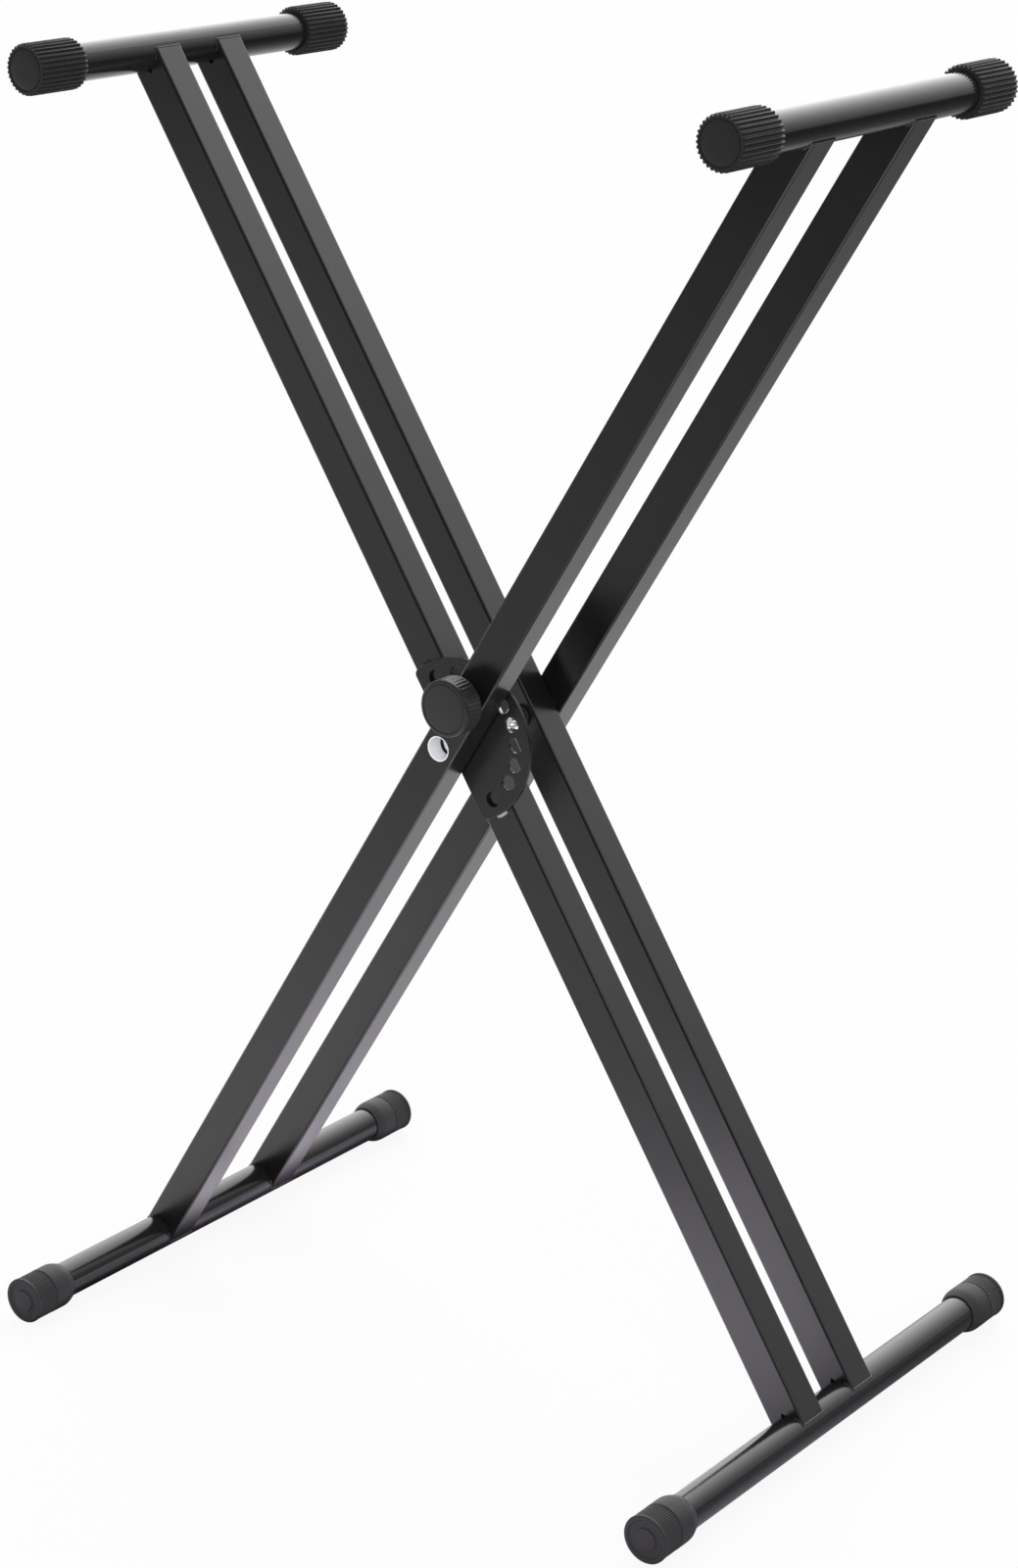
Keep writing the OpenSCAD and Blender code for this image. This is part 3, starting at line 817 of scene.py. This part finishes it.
def flatPiece(name, loops, thickness, edge, finish, body, place, stands):
    # the first loop is the outline, the others are holes
    curve = bpy.data.curves.new(name, "CURVE")
    curve.dimensions = "2D"
    curve.fill_mode = "BOTH"
    curve.extrude = (thickness / 2 - edge) * mm
    curve.bevel_depth = edge * mm
    curve.bevel_resolution = plateLook["edgeSteps"]
    curve.offset = -edge * mm
    for loop in loops:
        spline = curve.splines.new("POLY")
        spline.points.add(len(loop) - 1)
        for point, (x, z) in zip(spline.points, loop):
            point.co = (x * mm, z * mm, 0, 1)
        spline.use_cyclic_u = True
    mesh = bpy.data.meshes.new_from_object(bpy.data.objects.new(name, curve))
    tidy = bmesh.new()
    tidy.from_mesh(mesh)
    bmesh.ops.remove_doubles(tidy, verts=tidy.verts, dist=plateLook["joined"] * mm)
    points = [tuple(vertex.co) for vertex in tidy.verts]
    faces = [tuple(vertex.index for vertex in face.verts) for face in tidy.faces]
    tidy.free()
    upright = place @ Matrix.Rotation(turn / 4, 4, "X")
    piece = addPiece(name, points, faces, finish, body, upright, plateLook["sharp"], stands)
    smooth = piece.modifiers.new("flatFaces", "WEIGHTED_NORMAL")
    smooth.keep_sharp = True
    return piece


def makePlate():
    low, high = leaningBox("lock_plate", "inner")
    radius, edgeX = high.x, low.x
    look, steps = plateLook, plateLook["steps"]
    corner = look["corner"]
    cornerX = edgeX + corner
    cornerZ = math.sqrt((radius - corner) ** 2 - cornerX ** 2)
    tip = math.degrees(math.atan2(cornerZ, cornerX))
    outline = arc((0, 0), radius, -tip, tip, steps["rim"])
    outline += arc((cornerX, cornerZ), corner, tip, 180, steps["corner"])[1:]
    outline += arc((cornerX, -cornerZ), corner, 180, 360 - tip, steps["corner"])[:-1]
    angles = [(k + 0.5) * look["pitch"] for k in range(look["pairs"])] + [look["foldHole"]]
    holes = [arc((0, 0), look["bush"] / 2, 360, 0, steps["bush"])[:-1]]
    for angle in [math.radians(a) for a in angles + [-a for a in angles]]:
        spot = (knobAlong / mm * math.cos(angle), knobAlong / mm * math.sin(angle))
        holes.append(arc(spot, look["hole"] / 2, 360, 0, steps["hole"])[:-1])
    middle = Matrix.Translation((0, (low.y + high.y) / 2 * mm, 0))
    flatPiece("notched_plate", [outline] + holes, high.y - low.y, look["edge"], "platePowder",
              "inner_frame", placeOn("inner", 0) @ middle, ["lock_plate"])
    for name, tack in look["tacks"].items():
        makeTack(name, tack, radius, high.y)


def makeTack(name, tack, radius, depth):
    look = plateLook
    chance = random.Random(name)
    start, stop = tack["across"]
    count = look["steps"]["tack"]
    path = []
    for i in range(count + 1):
        x = start + (stop - start) * i / count
        path.append((x, depth, tack["end"] * math.sqrt(radius ** 2 - x * x)))

    def bead(share):
        swell = 0.6 + 0.4 * math.sin(math.pi * share) ** 0.4
        return tack["size"] * (swell + chance.uniform(-look["tackRough"], look["tackRough"]))

    shape = sweptShape(path, bead, look["tackSides"])
    addPiece(name, *shape, tack["finish"], "inner_frame", placeOn("inner", 0), look["tackSharp"])


makePlate()
print("plate made")

# Pivot hardware: hex bolts with threaded ends, and lock nuts with a nylon ring
hexLook = {
    "flats": 13,
    "bolt": 8,
    "headHeight": 5.3,
    "face": 0.475,          # radius of the flat end, as a share of the flats
    "chamfer": 30,
    "pitch": 1.25,
    "threadDepth": 0.55,
    "threadLength": 12,
    "threadStep": 0.16,     # spacing of the thread's rows
    "tip": 1,               # chamfer at the thread's end
    "collar": 1.9,          # the nut's round part
    "collarInset": 0.5,
    "collarWall": 1.1,
    "nylonDepth": 0.35,
    "nylon": 0.9,           # thickness of the nylon ring
    "boreEdge": 0.4,
    "housingBore": 7,       # radius of the hole in the plunger's nut
    "sides": 72,
    "ringSides": 48,
    "slack": 0.01,          # for comparing places on an outline
    "sharp": 28,
}


def hexRadius(flats, angle):
    return flats / 2 / math.cos((angle + turn / 12) % (turn / 6) - turn / 12)


def hexRows(flats, start, stop, inner):
    # an outline up one chamfered hex; hexed() below cuts it to the flats
    face, corner = flats * hexLook["face"], flats / 2 / math.cos(turn / 12)
    slope = math.tan(math.radians(hexLook["chamfer"]))
    deep = (corner - face) * slope
    rise = [(face + (corner - face) * t, start + deep * t) for t in (0, 0.15, 0.3, 0.45, 0.6, 0.8, 1)]
    fall = [(radius, stop - (along - start)) for radius, along in rise[::-1]]
    return [(inner, start)] + rise + fall


def hexed(flats, start, stop):
    def shape(radius, along, angle):
        inside = start - hexLook["slack"] <= along <= stop + hexLook["slack"]
        return min(radius, hexRadius(flats, angle)) if inside else radius
    return shape


def threaded(radius, along, angle):
    phase = (along / hexLook["pitch"] - angle / turn) % 1
    return radius - hexLook["threadDepth"] * abs(2 * phase - 1)


def frontToBack(low, high, end):
    # a back piece is made in front and mirrored
    return (low.y, high.y) if end == "front" else (-high.y, -low.y)


def makeBolt(end):
    look = hexLook
    front, back = frontToBack(*leaningBox(f"{end}_pivot_bolt", "outer"), end)
    seat = front + look["headHeight"]
    thread = back - look["threadLength"]
    radius, step, tip = look["bolt"] / 2, look["threadStep"], look["tip"]
    head = hexRows(look["flats"], front, seat, 0) + [(radius, seat), (radius, thread)]
    rows = [(radius, thread + step * i) for i in range(1, round((look["threadLength"] - tip) / step))]
    rows += [(radius - tip * t, back - tip + tip * t) for t in (0.17, 0.34, 0.51, 0.68, 0.85)]
    hexPart = hexed(look["flats"], front, seat)

    def shape(size, along, angle):
        if along > thread and size > radius - look["slack"]:
            return threaded(size, along, angle)
        return hexPart(size, along, angle)

    points, faces = turnedShape(head + rows + [(radius - tip, back), (0, back)], look["sides"], shape)
    bolt = addPiece(f"{end}_hex_bolt", points, faces, "brightZinc", "outer_frame",
                    placeOn("outer", 0, end == "back"), look["sharp"], [f"{end}_pivot_bolt"])
    bolt.data.materials.append(finishOf["cupZinc"])
    for face in bolt.data.polygons:
        if abs(face.center.y) > abs(seat) * mm:    # the head, near-white as a painted reflection
            face.material_index = 1


def makeNut(end):
    look = hexLook
    front, back = frontToBack(*leaningBox(f"{end}_pivot_nut", "outer"), end)
    bore, edge = look["bolt"] / 2, look["boreEdge"]
    shoulder = back - look["collar"]
    collar = look["flats"] / 2 - look["collarInset"]
    inside = collar - look["collarWall"]
    ringFace = back - look["nylonDepth"]
    outline = hexRows(look["flats"], front, shoulder, bore + edge)
    outline += softOutline([(collar, shoulder), (collar, back, 0.8), (inside, back, 0.25),
                            (inside, ringFace - 0.4), (bore, ringFace - 0.4)])
    outline.append((bore, front + edge))
    points, faces = turnedShape(outline, look["sides"], hexed(look["flats"], front, shoulder), True)
    spot = placeOn("outer", 0, end == "back")
    addPiece(f"{end}_lock_nut", points, faces, "brightZinc", "outer_frame", spot, look["sharp"],
             [f"{end}_pivot_nut"])
    start = ringFace - look["nylon"]
    ring = softOutline([(bore, start), (inside, start), (inside, ringFace, 0.2), (bore, ringFace, 0.3)])
    points, faces = turnedShape(ring, look["ringSides"], None, True)
    addPiece(f"{end}_nylon_ring", points, faces, "nutNylon", "outer_frame", spot)


# Turned pieces with softened rims. A floor closes the far end round a smaller hole. In the bolt cups,
# bright is how deep the near-white zinc reaches; further in, the bore is painted dark as the shade
# round the bolt head.
boltCup = {"bore": 7.81, "rim": 0.15, "floor": 3.5, "hole": 4.2, "finish": "cupZinc", "bright": 12.3}
sleeves = {
    "front_bolt_cup": boltCup,
    "back_bolt_cup": boltCup,
    "plunger_housing": {"bore": 5.75, "rim": 0.5, "floor": 8, "hole": 4.3, "finish": "platePowder"},
    "housing_cap": {"bore": 3.05, "rim": 0.25, "finish": "platePowder"},
    "pin_collar": {"bore": 3, "rim": 0.2, "finish": "springWire"},
}
sleeveShape = {"boreRound": 0.2, "sides": 72, "sharp": 40}


def makeSleeve(node, look):
    end = "back" if node.startswith("back") else "front"
    along = 0 if "cup" in node else knobAlong
    low, high = leaningBox(node, "outer", along)
    front, back = frontToBack(low, high, end)
    outer, bore, soft = high.x, look["bore"], sleeveShape["boreRound"]
    outline = [(outer, front, look["rim"]), (outer, back, look["rim"])]
    if "floor" in look:
        seat = back - look["floor"]
        outline += [(look["hole"], back, soft), (look["hole"], seat, soft), (bore, seat)]
    else:
        outline.append((bore, back, soft))
    if "bright" in look:
        outline.append((bore, front + look["bright"]))
    outline.append((bore, front, look["rim"]))
    points, faces = turnedShape(softOutline(outline, True), sleeveShape["sides"], None, True)
    body = "lock_knob" if node == "pin_collar" else "outer_frame"
    sleeve = addPiece(node + "_turned", points, faces, look["finish"], body,
                      placeOn("outer", along, end == "back"), sleeveShape["sharp"], [node])
    # beyond the bright depth the bore takes the dark finish: painted shade
    if "bright" in look:
        sleeve.data.materials.append(finishOf["darkSteelAndPaintedShade"])
        for face in sleeve.data.polygons:
            if abs(face.center.y) < (abs(front) - look["bright"]) * mm:
                face.material_index = 1


def makeHousingNut():
    low, high = leaningBox("plunger_nut", "outer", knobAlong)
    flats, bore = high.z - low.z, hexLook["housingBore"]
    outline = hexRows(flats, low.y, high.y, bore) + [(bore, high.y)]
    points, faces = turnedShape(outline, hexLook["sides"], hexed(flats, low.y, high.y), True)
    addPiece("housing_hex_nut", points, faces, "platePowder", "outer_frame",
             placeOn("outer", knobAlong), hexLook["sharp"], ["plunger_nut"])


# Plunger spring of round wire with closed ends
springLook = {
    "wire": 1.0,
    "curls": 5,
    "endCurls": 1,
    "endPitch": 0.98,    # pitch of the closed curls, as a share of the wire
    "perCurl": 28,
    "sides": 12,
    "sharp": 60,
}


def makeSpring():
    low, high = leaningBox("plunger_spring", "outer", knobAlong)
    look = springLook
    wire, ends, curls = look["wire"], look["endCurls"], look["curls"]
    middle = high.x - wire / 2
    length = high.y - low.y
    total = curls + 2 * ends
    endPitch = wire * look["endPitch"]
    pitch = (length - wire - 2 * ends * endPitch) / curls
    path = []
    for i in range(total * look["perCurl"] + 1):
        curl = i / look["perCurl"]
        closed = min(curl, ends) + max(0, curl - total + ends)
        opened = min(max(curl - ends, 0), curls)
        along = low.y + wire / 2 + endPitch * closed + pitch * opened
        path.append((middle * math.cos(turn * curl), along, middle * math.sin(turn * curl)))
    spring = addPiece("round_wire_spring", *sweptShape(path, lambda share: wire / 2, look["sides"]),
                      "springWire", "outer_frame", placeOn("outer", knobAlong), look["sharp"],
                      ["plunger_spring"])
    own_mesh(spring)


for end in ("front", "back"):
    makeBolt(end)
    makeNut(end)
for node, look in sleeves.items():
    makeSleeve(node, look)
makeHousingNut()
makeSpring()
dress("nut_washers", "darkSteelAndPaintedShade")
for node in ("front_pivot_bush", "back_pivot_bush", "back_spacer", "lock_pin"):
    dress(node, "brightZinc")
print("pivot and plunger made")
